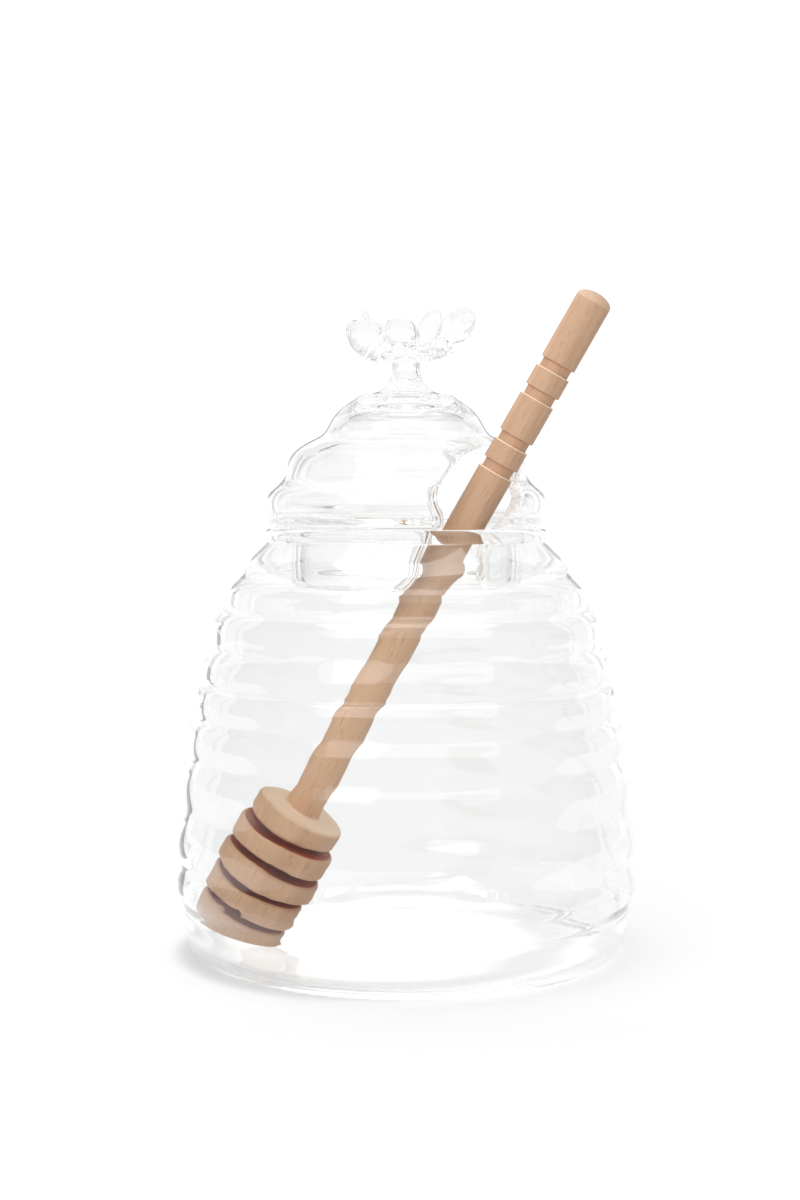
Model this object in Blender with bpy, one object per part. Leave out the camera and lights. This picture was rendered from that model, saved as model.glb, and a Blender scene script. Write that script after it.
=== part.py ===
"""Glass honey jar in the form of a beehive, with its lid and its wooden honey dipper.

Three pieces: the blown jar, the loose glass lid with a bee fused on top, and a turned dipper that
leans in the jar and comes out through the notch in the lid. Z is up, the jar stands on z = 0 with
its axis on Z, and the notch is towards -Y.
"""

import math

import bmesh
import bpy
from mathutils import Vector

MM = 0.001
GAP = 0.3

# Jar: its flat foot and the curve up from it, the rings of its outside as (height, radius) of each
# crest from the bottom up, then its shoulder, mouth and floor.
FOOT_RADIUS = 45.2
FOOT_FLAT_RADIUS = FOOT_RADIUS - 3.0
FOOT_EDGE_HEIGHT = 0.25
FOOT_CURVE_END = (FOOT_RADIUS + 2.2, 2.0)
LOWEST_CREST = (5.9, 48.4)
RING_CRESTS = (
    LOWEST_CREST,
    (15.4, 50.4),
    (25.3, 50.4),
    (37.8, 49.2),
    (46.9, 47.8),
    (55.0, 46.2),
    (61.5, 44.8),
    (71.0, 42.4),
    (78.4, 39.2),
    (85.4, 34.2),
)
RING_DEPTH = 0.75
VALLEY_SOFTNESS = 0.25
SHOULDER_TOP = (88.4, 31.0)
RIM_RADIUS = 31.2
RIM_TOP = 91.9
RIM_BOTTOM = 88.7
RIM_ROUNDING = 1.1
MOUTH_RADIUS = 28.2
FLOOR = 2.0
FLOOR_CORNER_TOP = 7.3
FLOOR_CORNER_MIDDLE = (FOOT_RADIUS - 0.6, FLOOR + 1.3)
FLOOR_FLAT_RADIUS = FOOT_RADIUS - 4.6
WALL = 2.2
INNER_RING_SHARE = 0.5
JAR_SIDES = 40
POINTS_PER_RING = 4
INSIDE_POINTS_PER_RING = 2

# Lid: outside and inside as (radius, height) from the plug's lower edge upwards.
LID_SEAT = RIM_TOP + GAP
LID_OUTSIDE = (
    (24.2, 78.0),
    (25.4, 79.0),
    (25.6, 88.4),
    (26.1, 91.0),
    (27.4, LID_SEAT),
    (30.6, LID_SEAT),
    (31.0, 93.1),
    (29.4, 94.3),
    (31.2, 96.6),
    (30.2, 99.6),
    (27.2, 101.9),
    (26.5, 104.0),
    (26.2, 106.6),
    (24.4, 109.2),
    (20.4, 111.2),
    (17.8, 112.2),
    (17.3, 114.0),
    (15.8, 116.7),
    (13.3, 118.8),
    (10.9, 120.2),
    (10.2, 120.9),
    (5.2, 121.7),
    (3.3, 123.4),
    (3.0, 125.6),
    (3.2, 128.6),
)
LID_INSIDE = (
    (23.4, 78.0),
    (22.7, 79.0),
    (22.8, 90.0),
    (26.2, 93.6),
    (28.6, 96.8),
    (27.4, 99.0),
    (24.4, 101.4),
    (23.9, 105.6),
    (22.0, 107.6),
    (15.8, 110.2),
    (15.0, 113.2),
    (12.8, 115.8),
    (7.6, 117.8),
)
LID_CROWN_INSIDE = 118.4
LID_TOP = 128.6
LID_SIDES = 36

# Notch: a slanted slot through plug, seat and lobes, drawn as (sideways, height) on a plane that
# faces NOTCH_TURN degrees to the right of the front, and cut outwards from NOTCH_DEPTH.
NOTCH_TURN = 25.0
NOTCH_OUTLINE = (
    (-9.9, 74.0),
    (-9.8, 84.0),
    (-8.9, 93.0),
    (-8.6, 98.2),
    (-5.2, 103.2),
    (0.4, 107.2),
    (6.0, 109.8),
    (11.6, 110.2),
    (15.2, 107.2),
    (13.4, 102.0),
    (9.6, 94.6),
    (5.6, 87.0),
    (4.8, 81.6),
    (7.6, 78.4),
    (12.0, 74.0),
)
NOTCH_DEPTH = (8.0, 42.0)

# Bee on the stem: (name, centre, half sizes, turn about Y in degrees, turn about Z in degrees).
BEE_PIECES = (
    ("underside", (0.4, 0.0, 129.4), (8.2, 3.8, 1.7), 0, 0),
    ("abdomen", (-9.1, 0.0, 133.5), (5.3, 4.2, 4.3), 34, 0),
    ("sting", (-9.4, 0.0, 138.4), (0.9, 0.9, 1.4), 0, 0),
    ("thorax", (-1.2, 0.0, 134.0), (4.4, 3.9, 4.0), 12, 0),
    ("head", (7.4, -0.6, 130.9), (2.9, 2.8, 2.7), 0, 0),
    ("eye_near", (8.7, -2.6, 131.8), (1.1, 1.1, 1.1), 0, 0),
    ("eye_far", (8.7, 1.4, 131.8), (1.1, 1.1, 1.1), 0, 0),
    ("wing_near", (5.2, -2.6, 135.2), (4.8, 1.1, 2.7), -72, -16),
    ("wing_far", (10.8, 1.6, 135.9), (5.9, 1.2, 3.7), -42, 14),
)
BEE_SIDES = 12
BEE_RINGS = 8

# Dipper: a straight axis from the middle of its foot to the tip, and what is turned on it.
DIPPER_FOOT = Vector((-36.3, -10.8, 6.9))
DIPPER_TIP = Vector((39.6, -25.3, 140.7))
HANDLE_RADIUS = 3.85
HANDLE_GROOVE_DEPTH = 0.6
HANDLE_GROOVE = 2.05
HANDLE_BANDS = (14.7, 4.5, 8.8, 4.4)
HANDLE_GROOVE_FLAT = (0.2, 0.8)
TIP_DOME = 2.0
TIP_DOME_ANGLES = (30, 60)
DISC_RADII = (9.65, 10.4, 11.0, 10.9, 9.65)
DISC_HEIGHT = 4.6
DISC_GROOVE = 1.5
DISC_ROUNDING = 0.8
FOOT_FLAT_SHARE = 0.55
CORE_RADIUS = 5.2
DIPPER_SIDES = 18

MERGE_DISTANCE = 0.01
SHARP_ANGLE = 40


def clear_scene():
    for item in list(bpy.data.objects):
        bpy.data.objects.remove(item, do_unlink=True)


def material(name, colour, roughness, transmission=0.0, ior=1.5):
    finish = bpy.data.materials.new(name)
    finish.use_nodes = True
    shader = finish.node_tree.nodes["Principled BSDF"]
    shader.inputs["Base Color"].default_value = (*colour, 1.0)
    shader.inputs["Metallic"].default_value = 0.0
    shader.inputs["Roughness"].default_value = roughness
    shader.inputs["Transmission Weight"].default_value = transmission
    shader.inputs["IOR"].default_value = ior
    return finish


def smooth_curve(points, steps):
    """Points of a smooth curve that passes through the given points, ends included."""
    count = len(points)
    curve = []
    for i in range(count - 1):
        before = points[max(i - 1, 0)]
        start = points[i]
        end = points[i + 1]
        after = points[min(i + 2, count - 1)]
        for step in range(steps):
            t = step / steps
            curve.append(
                tuple(
                    0.5
                    * (
                        2 * b
                        + (c - a) * t
                        + (2 * a - 5 * b + 4 * c - d) * t * t
                        + (3 * b - a - 3 * c + d) * t * t * t
                    )
                    for a, b, c, d in zip(before, start, end, after)
                )
            )
    curve.append(tuple(points[-1]))
    return curve


def arc(centre, radius, start, end, steps):
    """Points of an arc in the (radius, height) plane, angles in degrees, ends included."""
    points = []
    for step in range(steps + 1):
        angle = math.radians(start + (end - start) * step / steps)
        points.append(
            (centre[0] + radius * math.cos(angle), centre[1] + radius * math.sin(angle))
        )
    return points


def turned(name, outline, sides, finish):
    """A body turned round Z from an outline of (radius, height) in mm that starts and ends on Z."""
    mesh = bpy.data.meshes.new(name)
    body = bmesh.new()
    verts = [body.verts.new((radius * MM, 0.0, height * MM)) for radius, height in outline]
    edges = [body.edges.new(pair) for pair in zip(verts, verts[1:])]
    bmesh.ops.spin(
        body,
        geom=verts + edges,
        cent=(0.0, 0.0, 0.0),
        axis=(0.0, 0.0, 1.0),
        angle=2 * math.pi,
        steps=sides,
        use_merge=True,
    )
    bmesh.ops.remove_doubles(body, verts=body.verts, dist=MERGE_DISTANCE * MM)
    bmesh.ops.recalc_face_normals(body, faces=body.faces)
    body.to_mesh(mesh)
    body.free()
    return placed(name, mesh, finish)


def placed(name, mesh, finish):
    mesh.materials.append(finish)
    mesh.shade_smooth()
    mesh.set_sharp_from_angle(angle=math.radians(SHARP_ANGLE))
    item = bpy.data.objects.new(name, mesh)
    bpy.context.scene.collection.objects.link(item)
    return item


def ringed(crests, depth, steps):
    """(radius, height) up a wall whose rounded rings have their crests at the given points."""
    full = math.sqrt(1 + VALLEY_SOFTNESS**2) - VALLEY_SOFTNESS
    points = []
    for (low, low_radius), (high, high_radius) in zip(crests, crests[1:]):
        for step in range(steps):
            t = step / steps
            wave = math.sqrt(math.cos(math.pi * t) ** 2 + VALLEY_SOFTNESS**2) - VALLEY_SOFTNESS
            radius = low_radius + (high_radius - low_radius) * t - depth * (1 - wave / full)
            points.append((radius, low + (high - low) * t))
    points.append((crests[-1][1], crests[-1][0]))
    return points


def jar_outline():
    foot = smooth_curve(
        ((FOOT_FLAT_RADIUS, 0.0), (FOOT_RADIUS, FOOT_EDGE_HEIGHT), FOOT_CURVE_END), 2
    )
    outside = ringed(RING_CRESTS, RING_DEPTH, POINTS_PER_RING)
    rim_out = RIM_RADIUS - RIM_ROUNDING
    rim_in = MOUTH_RADIUS + RIM_ROUNDING
    rim_upper = RIM_TOP - RIM_ROUNDING
    rim = (
        [SHOULDER_TOP[::-1]]
        + arc((rim_out, RIM_BOTTOM + RIM_ROUNDING), RIM_ROUNDING, -60, 0, 2)
        + arc((rim_out, rim_upper), RIM_ROUNDING, 0, 90, 3)
        + arc((rim_in, rim_upper), RIM_ROUNDING, 90, 180, 3)
    )
    wall = ringed(RING_CRESTS, RING_DEPTH * INNER_RING_SHARE, INSIDE_POINTS_PER_RING)
    inside = [(MOUTH_RADIUS, RIM_BOTTOM)]
    inside.extend((radius - WALL, height) for radius, height in reversed(wall[1:-1]))
    floor_corner = smooth_curve(
        (
            (LOWEST_CREST[1] - WALL, FLOOR_CORNER_TOP),
            FLOOR_CORNER_MIDDLE,
            (FLOOR_FLAT_RADIUS, FLOOR),
        ),
        2,
    )
    return [(0.0, 0.0)] + foot + outside + rim + inside + floor_corner + [(0.0, FLOOR)]


def lid_outline():
    inside = list(reversed(LID_INSIDE))
    return [(0.0, LID_CROWN_INSIDE)] + inside + list(LID_OUTSIDE) + [(0.0, LID_TOP)]


def dipper_outline():
    """(radius, distance) along the dipper's axis, from its foot to the tip of the handle."""
    outline = [(0.0, 0.0), (FOOT_FLAT_SHARE * DISC_RADII[0], 0.0)]
    bottom = 0.0
    for radius in DISC_RADII:
        top = bottom + DISC_HEIGHT
        edge = radius - DISC_ROUNDING
        if bottom > 0:
            outline.append((CORE_RADIUS, bottom))
        outline.extend(arc((edge, bottom + DISC_ROUNDING), DISC_ROUNDING, -90, 0, 2))
        outline.extend(arc((edge, top - DISC_ROUNDING), DISC_ROUNDING, 0, 90, 2))
        outline.append((CORE_RADIUS, top))
        bottom = top + DISC_GROOVE
    outline[-1] = (HANDLE_RADIUS, top)
    length = (DIPPER_TIP - DIPPER_FOOT).length
    groove_radius = HANDLE_RADIUS - HANDLE_GROOVE_DEPTH
    handle = []
    mark = length - TIP_DOME
    for band in HANDLE_BANDS:
        handle.append((HANDLE_RADIUS, mark))
        mark -= band
        handle.append((HANDLE_RADIUS, mark))
        handle.extend((groove_radius, mark - HANDLE_GROOVE * share) for share in HANDLE_GROOVE_FLAT)
        mark -= HANDLE_GROOVE
    handle.append((HANDLE_RADIUS, mark))
    outline.extend(reversed(handle))
    for angle in map(math.radians, TIP_DOME_ANGLES):
        height = length - TIP_DOME + TIP_DOME * math.sin(angle)
        outline.append((HANDLE_RADIUS * math.cos(angle), height))
    outline.append((0.0, length))
    return outline


def notch_cutter():
    turn = math.radians(NOTCH_TURN)
    outward = Vector((math.sin(turn), -math.cos(turn), 0.0))
    sideways = Vector((math.cos(turn), math.sin(turn), 0.0))
    cutter = bmesh.new()
    near = [
        cutter.verts.new(
            (sideways * across + outward * NOTCH_DEPTH[0] + Vector((0, 0, up))) * MM
        )
        for across, up in smooth_curve(NOTCH_OUTLINE, 2)
    ]
    face = cutter.faces.new(near)
    reach = outward * (NOTCH_DEPTH[1] - NOTCH_DEPTH[0]) * MM
    swept = bmesh.ops.extrude_face_region(cutter, geom=[face])
    far = [item for item in swept["geom"] if isinstance(item, bmesh.types.BMVert)]
    bmesh.ops.translate(cutter, verts=far, vec=reach)
    bmesh.ops.recalc_face_normals(cutter, faces=cutter.faces)
    mesh = bpy.data.meshes.new("notch_cutter")
    cutter.to_mesh(mesh)
    cutter.free()
    item = bpy.data.objects.new("notch_cutter", mesh)
    bpy.context.scene.collection.objects.link(item)
    item.hide_render = True
    item.display_type = "WIRE"
    return item


def bee_pieces():
    """The bee's rounded pieces, in a collection of their own."""
    pieces = bpy.data.collections.new("bee_pieces")
    bpy.context.scene.collection.children.link(pieces)
    for name, centre, half, lean, turn in BEE_PIECES:
        mesh = bpy.data.meshes.new(name)
        piece = bmesh.new()
        bmesh.ops.create_uvsphere(piece, u_segments=BEE_SIDES, v_segments=BEE_RINGS, radius=MM)
        bmesh.ops.scale(piece, verts=piece.verts, vec=half)
        piece.to_mesh(mesh)
        piece.free()
        item = bpy.data.objects.new(name, mesh)
        item.rotation_euler = (0.0, math.radians(lean), math.radians(turn))
        item.location = Vector(centre) * MM
        pieces.objects.link(item)
    return pieces


def apply_boolean(item, operation, operand):
    step = item.modifiers.new(operation.lower(), "BOOLEAN")
    step.operation = operation
    step.solver = "EXACT"
    if isinstance(operand, bpy.types.Collection):
        step.operand_type = "COLLECTION"
        step.collection = operand
    else:
        step.object = operand
    bpy.ops.object.select_all(action="DESELECT")
    item.select_set(True)
    bpy.context.view_layer.objects.active = item
    bpy.ops.object.modifier_apply(modifier=step.name)


def jar(glass):
    return turned("jar", jar_outline(), JAR_SIDES, glass)


def lid(glass):
    item = turned("lid", lid_outline(), LID_SIDES, glass)
    pieces = bee_pieces()
    apply_boolean(item, "UNION", pieces)
    for piece in list(pieces.objects):
        bpy.data.objects.remove(piece, do_unlink=True)
    bpy.data.collections.remove(pieces)
    cutter = notch_cutter()
    apply_boolean(item, "DIFFERENCE", cutter)
    bpy.data.objects.remove(cutter, do_unlink=True)
    return item


def dipper(wood):
    item = turned("dipper", dipper_outline(), DIPPER_SIDES, wood)
    axis = (DIPPER_TIP - DIPPER_FOOT).normalized()
    item.rotation_mode = "QUATERNION"
    item.rotation_quaternion = Vector((0, 0, 1)).rotation_difference(axis)
    item.location = DIPPER_FOOT * MM
    return item


def main():
    clear_scene()
    glass = material("clear_glass", (0.97, 0.98, 0.98), 0.02, 1.0, 1.47)
    lid_glass = material("lid_glass", (0.97, 0.98, 0.98), 0.02, 1.0, 1.47)
    wood = material("beech_wood", (0.66, 0.44, 0.28), 0.6)
    jar(glass)
    lid(lid_glass)
    dipper(wood)


main()
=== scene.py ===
"""Clear glass honey jar in the form of a beehive, its notched lid with a glass bee, and its dipper.

The file is laid out as an add-on: property groups hold the sizes and colours, each piece has an
operator, and a panel lists them. Lengths are in metres in the properties and in millimetres in
the outlines, Z is up, and the jar stands on z = 0 with its axis on Z.
"""

import math

import bmesh
import bpy
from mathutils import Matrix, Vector


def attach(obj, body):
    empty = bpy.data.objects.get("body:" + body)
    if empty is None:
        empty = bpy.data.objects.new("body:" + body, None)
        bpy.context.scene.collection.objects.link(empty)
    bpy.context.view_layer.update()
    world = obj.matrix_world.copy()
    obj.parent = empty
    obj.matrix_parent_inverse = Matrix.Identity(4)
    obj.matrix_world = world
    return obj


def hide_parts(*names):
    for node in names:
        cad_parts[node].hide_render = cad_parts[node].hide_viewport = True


bl_info = {
    "name": "Beehive honey jar",
    "version": (1, 0, 0),
    "blender": (4, 5, 0),
    "location": "3D View > Sidebar > Honey jar",
    "description": "Models a ringed glass honey jar, its notched lid with a bee, and a wooden dipper",
    "category": "Object",
}

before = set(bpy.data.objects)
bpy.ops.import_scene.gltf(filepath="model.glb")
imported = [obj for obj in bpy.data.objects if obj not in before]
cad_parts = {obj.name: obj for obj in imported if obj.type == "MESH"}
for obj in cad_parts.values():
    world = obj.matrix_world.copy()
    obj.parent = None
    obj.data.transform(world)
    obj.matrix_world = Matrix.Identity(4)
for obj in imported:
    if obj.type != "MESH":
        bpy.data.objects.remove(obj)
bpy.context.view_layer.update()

MM = 0.001
WHITE = (1.0, 1.0, 1.0, 1.0)
BLACK = (0.0, 0.0, 0.0, 1.0)

# Jar outside: (height, radius) of each ring's crest, from the bottom up.
RING_CRESTS = (
    (5.9, 48.4),
    (15.4, 50.4),
    (25.3, 50.4),
    (37.8, 49.2),
    (46.9, 47.8),
    (55.0, 46.2),
    (61.5, 44.8),
    (71.0, 42.4),
    (78.4, 39.2),
    (85.4, 34.2),
)
RING_STEPS = 14
FOOT_CURVE = ((0.0, 0.5), (26.0, 0.45), (38.5, 0.2), (42.2, 0.0), (45.2, 0.25), (47.4, 2.0))
FOOT_STEPS = 6
SHOULDER_TOP = (31.0, 88.4)
RIM_OUTER_RADIUS = 31.2
RIM_TOP = 91.9
RIM_BOTTOM = 88.7
RIM_START_ANGLE = -60.0
RIM_ARC_STEP = 15.0

# Jar inside: its rings count from INNER_START up. The last few points give way to the neck, as
# (radius beyond the mouth's, height over the rim's bottom). The floor's corner starts at
# FLOOR_CORNER_TOP and goes on as (radius, height over the floor).
INNER_START = 10.0
NECK_POINTS = 8
NECK = ((0.4, 0.2), (0.0, 1.2))
FLOOR_CORNER_TOP = 7.3
FLOOR_CORNER = ((44.6, 1.3), (40.6, 0.0), (20.0, 0.1), (0.0, 0.2))
INNER_STEPS = 5

# Lid wall from the lower edge of its plug up to the crown, as pairs of points on its outside and
# its inside: (outer radius, outer height, inner radius, inner height).
LID_WALL = (
    (24.3, 78.05, 23.4, 78.05),
    (25.4, 79.2, 22.7, 79.2),
    (25.6, 83.8, 22.7, 83.8),
    (25.7, 88.4, 22.8, 88.2),
    (26.1, 90.9, 23.3, 90.6),
    (27.4, 92.2, 24.4, 92.0),
    (30.5, 92.2, 25.3, 92.8),
    (31.0, 93.1, 26.2, 93.6),
    (29.5, 94.3, 27.1, 94.7),
    (30.8, 95.4, 28.1, 95.8),
    (31.2, 96.7, 28.6, 96.9),
    (30.9, 98.4, 28.3, 98.0),
    (30.0, 99.8, 27.4, 99.1),
    (28.2, 101.0, 25.9, 100.1),
    (27.0, 102.2, 24.7, 101.2),
    (26.5, 104.2, 24.1, 103.6),
    (26.2, 106.6, 23.6, 106.0),
    (24.4, 109.2, 22.0, 107.7),
    (20.4, 111.2, 18.9, 109.3),
    (17.8, 112.2, 15.8, 110.5),
    (17.3, 114.0, 15.1, 113.0),
    (15.8, 116.7, 13.7, 115.1),
    (13.3, 118.8, 11.3, 116.8),
    (10.9, 120.2, 7.6, 117.9),
)
STEM_OUTSIDE = (
    (10.2, 120.9),
    (8.0, 121.15),
    (6.3, 121.6),
    (5.1, 122.3),
    (4.2, 123.3),
    (3.5, 124.6),
    (3.1, 126.0),
    (3.1, 127.4),
    (3.5, 129.2),
)
CROWN_INSIDE = ((4.0, 118.3), (0.0, 118.4))

# Notch in the lid: (height on the outside, left edge, right edge), sideways from the line that
# faces the notch.
NOTCH_EDGES = (
    (78.05, -11.0, 8.6),
    (79.2, -9.5, 6.6),
    (81.6, -8.5, 4.9),
    (87.0, -7.0, 5.6),
    (91.8, -5.2, 8.2),
    (94.8, -5.2, 9.9),
    (98.2, -6.8, 11.6),
    (102.0, -4.1, 13.4),
    (105.0, -1.2, 14.6),
    (107.2, 1.4, 15.0),
    (109.2, 4.8, 13.6),
    (110.4, 9.6, 9.6),
)
EDGE_STEPS = 4

# Along the wall, the bead on the notch's left edge stops BEAD_END short of the notch's top and
# comes up to its full height over BEAD_FADE. Where there is no bead, the wall thins towards the
# notch over EDGE_TAPER. None of this reaches further round the lid than NOTCH_REACH, in radians.
BEAD_END = 9.5
BEAD_FADE = 4.0
EDGE_TAPER = 4.5
NOTCH_REACH = 1.0

# Points nearer than this to the axis, or to the seam in radians, count as lying on it.
ON_AXIS = 0.001
ON_SEAM = 0.001

# Distances in metres under which the points of a turned body, or of the lid's seam, are merged.
TURNED_MERGE = 0.000002
SEAM_MERGE = 0.00001

# Bee: (centre, half sizes, lean about Y, turn about Z) of each blown or pulled lump of glass.
ABDOMEN = ((-8.1, 0.0, 133.1), (5.9, 4.2, 4.1), 40, 0)
BEE_BODY = (
    ((0.4, 0.0, 129.6), (8.4, 3.7, 1.4), 0, 0),
    ABDOMEN,
    ((-8.9, 0.0, 138.0), (0.85, 0.85, 1.6), 0, 0),
    ((-1.2, 0.0, 134.4), (4.5, 3.8, 3.5), 12, 0),
    ((-1.6, -2.4, 131.2), (1.1, 1.0, 1.7), 8, 0),
    ((1.4, -2.6, 131.0), (1.1, 1.0, 1.6), -10, 0),
    ((-1.6, 2.4, 131.2), (1.1, 1.0, 1.7), 8, 0),
    ((1.4, 2.6, 131.0), (1.1, 1.0, 1.6), -10, 0),
    ((7.2, -0.4, 131.1), (3.0, 2.8, 2.6), 0, 0),
    ((7.4, -2.7, 132.2), (1.2, 1.0, 1.1), 0, 0),
    ((7.4, 1.9, 132.2), (1.2, 1.0, 1.1), 0, 0),
    ((9.7, -1.9, 131.6), (0.75, 0.7, 0.8), 0, 0),
    ((10.2, -0.4, 130.6), (0.6, 0.6, 0.6), 0, 0),
    ((10.3, -1.0, 132.6), (1.4, 0.42, 0.42), -38, 0),
    ((5.2, -2.6, 135.4), (4.7, 1.0, 2.7), -66, -16),
)
# Stripes round the abdomen: (place along it, radius).
ABDOMEN_STRIPES = ((-10.2, 3.35), (-8.1, 4.05), (-6.0, 3.9))
# The far wing, and its ribs that spread from its root: (lean, length).
FAR_WING = ((10.8, 1.6, 135.9), (5.7, 1.0, 3.5), -42, 14)
FAR_WING_ROOT = Vector((6.8, 0.6, 132.4))
FAR_WING_RIBS = ((-66, 7.6), (-48, 9.4), (-30, 9.6), (-12, 8.0))
RIB_HALF_WIDTH = 1.15
LUMP_SEGMENTS = 40
LUMP_RINGS = 24
STRIPE_SEGMENTS = 48
STRIPE_SIDES = 12
SMOOTH_FACTOR = 0.5

# Dipper: a straight axis from the middle of its foot to its tip, and what is turned on it.
DIPPER_FOOT = Vector((-36.3, -10.8, 6.9))
DIPPER_TIP = Vector((39.6, -25.3, 140.7))
DIPPER_LENGTH = (DIPPER_TIP - DIPPER_FOOT).length
DIPPER_LEAN = Vector((0, 0, 1)).rotation_difference((DIPPER_TIP - DIPPER_FOOT).normalized())

# The head's discs from the foot up. Each flat face starts DISC_FACE_MARGIN inside its rounding.
DISC_RADII = (9.65, 10.4, 11.0, 10.9, 9.65)
DISC_HEIGHT = 4.6
DISC_GROOVE = 1.5
DISC_ROUNDING = 0.8
DISC_ARC_STEP = 18.0
DISC_FACE_MARGIN = 0.6
TOP_ROUNDING = 0.6
CORE_RADIUS = 5.2
FOOT_FLAT_SHARE = 0.55

# How pale the wood is painted: the top disc's rounding, step by step, and its face carry a painted
# highlight where the top faces the light; the tip is paler.
TOP_HIGHLIGHT_STEP = 0.12
TOP_HIGHLIGHT = 0.75
TIP_PALE = 0.2

# The handle, and the bands between its grooves from the tip down. HANDLE_FILLET is how far the
# handle's foot widens, and over what height.
HANDLE_RADIUS = 3.85
HANDLE_FILLET = (0.5, 0.4)
HANDLE_BANDS = (14.7, 4.5, 8.8, 4.4)
HANDLE_GROOVE = 2.05
HANDLE_GROOVE_DEPTH = 0.6
TIP_DOME = 2.0
TIP_MARGIN = 0.25
TIP_STEPS = 9

# A groove's upper and lower edge, from the top down: (depth, height over the edge, darkening,
# paleness). The darkening is painted shade: a painted shadow line under the upper edge's overhang
# and a darker groove floor. The paleness is a painted highlight on the lower edge's rim.
GROOVE_TOP = (
    (0.0, 0.08, 0.0, 0.0),
    # Painted shadow line under the overhang.
    (0.08, 0.0, 0.2, 0.0),
    (HANDLE_GROOVE_DEPTH - 0.06, -0.04, 0.4, 0.0),
    (HANDLE_GROOVE_DEPTH, -0.3, 0.14, 0.0),
)
GROOVE_FOOT = (
    (HANDLE_GROOVE_DEPTH, 0.1, 0.12, 0.0),
    # Painted highlight on the lower band's rim.
    (HANDLE_GROOVE_DEPTH - 0.06, 0.02, 0.0, 0.5),
    (0.1, 0.0, 0.0, 0.9),
    (0.0, -0.1, 0.0, 0.9),
    (0.0, -0.22, 0.0, 0.0),
)

# Glass: the ripple's cells per metre, and its depth in metres.
RIPPLE_SCALE = 70.0
RIPPLE_DEPTH = 0.0004

# Wood: (cells per metre across and along the dipper, detail, roughness) of each grain, then what
# it mixes in: (grain, colour, noise where it starts and where it is full, strength there).
GRAINS = {
    "streaks": (420.0, 16.0, 4.0, 0.6),
    "broad": (150.0, 20.0, 2.0, 0.5),
    "flecks": (2600.0, 330.0, 2.0, 0.55),
    "grits": (5200.0, 2600.0, 1.0, 0.5),
}
GRAIN_COLOURS = (
    ("streaks", "pale", 0.42, 0.75, 0.55),
    ("broad", "fleck", 0.45, 0.75, 0.5),
    ("flecks", "fleck", 0.55, 0.75, 0.65),
    ("grits", "pale", 0.60, 0.75, 0.4),
)
# Where along the dipper, in metres, the head's paler colour gives way to the handle's. The head's
# wood is painted paler inside the jar, painted light that stands in for light the glass holds back.
HEAD_PAINTED_LIGHT_END = (0.099, 0.104)
WOOD_ROUGHNESS = (0.46, 0.62)
FLECK_BUMP = 0.3
FLECK_DEPTH = 0.00008

# Stage: what the lamps and cards face, and the lamps (name, place, size, power).
STAGE_MIDDLE = Vector((0.0, 0.0, 0.06))
LAMPS = (
    ("key", (-0.7, -0.9, 0.9), (1.0, 0.9), 6.0),
    ("back", (0.75, 0.1, 0.6), (0.7, 0.7), 0.3),
    ("top", (0.0, 0.25, 1.5), (1.2, 0.9), 2.0),
)
CAMERA_PLACE = (-0.00132, -0.4103, 0.1001)
CAMERA_NEAR = 0.01
SENSOR_WIDTH = 36.0

# Floor: its size, how far it lies under the jar, and the glow it gives off, painted light that
# stands in for light from below: more under the jar, a painted pool of light, and less in a ring at
# the jar's foot, a painted contact shadow. Each part of that glow changes between two distances
# from its middle.
FLOOR_SIZE = 8.0
FLOOR_DROP = 0.0002
FLOOR_ROUGHNESS = 0.9
FLOOR_MIDDLE = (0.0, 0.0)
UNDER_JAR_FADE = (0.041, 0.049)
FAR_FADE = (0.5, 1.3)
# The painted contact shadow: its middle, set off to the left and front, and the two edges of its
# ring.
CONTACT_SHADOW_MIDDLE = (-0.006, -0.001)
CONTACT_SHADOW_OUTSIDE = (0.0400, 0.0465)
CONTACT_SHADOW_INSIDE = (0.0320, 0.0380)

# Ways for a card to count: seen through the glass, mirrored in the glass, or shading the wood.
THROUGH = "visible_transmission"
MIRRORED = "visible_glossy"
SHADING = "visible_diffuse"

# Cards that stand round the glass and are seen through it, where they draw its grey lines:
# (name, azimuth, height, distance, size, brightness).
CARDS = (
    ("card_left", 36.0, 0.0225, 0.60, (0.075, 0.045), 0.14),
    ("card_left_high", 36.0, 0.175, 0.60, (0.075, 0.26), 0.6),
    ("card_right", -36.0, 0.20, 0.60, (0.055, 0.36), 0.7),
    ("card_far_left", 63.0, 0.14, 0.60, (0.035, 0.40), 0.2),
    ("card_far_right", -66.0, 0.14, 0.60, (0.035, 0.40), 0.2),
    ("card_high", 0.0, 0.44, 0.58, (0.80, 0.12), 0.82),
    ("card_higher", 0.0, 0.57, 0.58, (0.80, 0.05), 0.35),
    ("card_bee_left", 30.0, 0.34, 0.58, (0.20, 0.26), 0.86),
    ("card_bee_right", -30.0, 0.34, 0.58, (0.20, 0.26), 0.9),
    ("line_bee_left", 48.0, 0.30, 0.58, (0.06, 0.30), 0.3),
    ("line_bee_right", -48.0, 0.30, 0.58, (0.06, 0.30), 0.4),
    ("panel_back", 0.0, 0.25, 1.10, (1.6, 1.1), 1.04),
    ("panel_left_high", 80.0, 0.52, 0.75, (0.80, 0.66), 0.45),
    ("panel_right_high", -80.0, 0.52, 0.75, (0.80, 0.66), 0.5),
    ("grey_left", 102.0, 0.50, 1.15, (1.5, 1.8), 0.7),
    ("panel_left", 74.0, 0.40, 0.80, (1.05, 0.90), 0.76),
    ("panel_right", -74.0, 0.40, 0.80, (1.05, 0.90), 0.8),
    ("panel_top", 0.0, 0.90, 0.35, (2.2, 1.0), 0.76),
)
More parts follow.
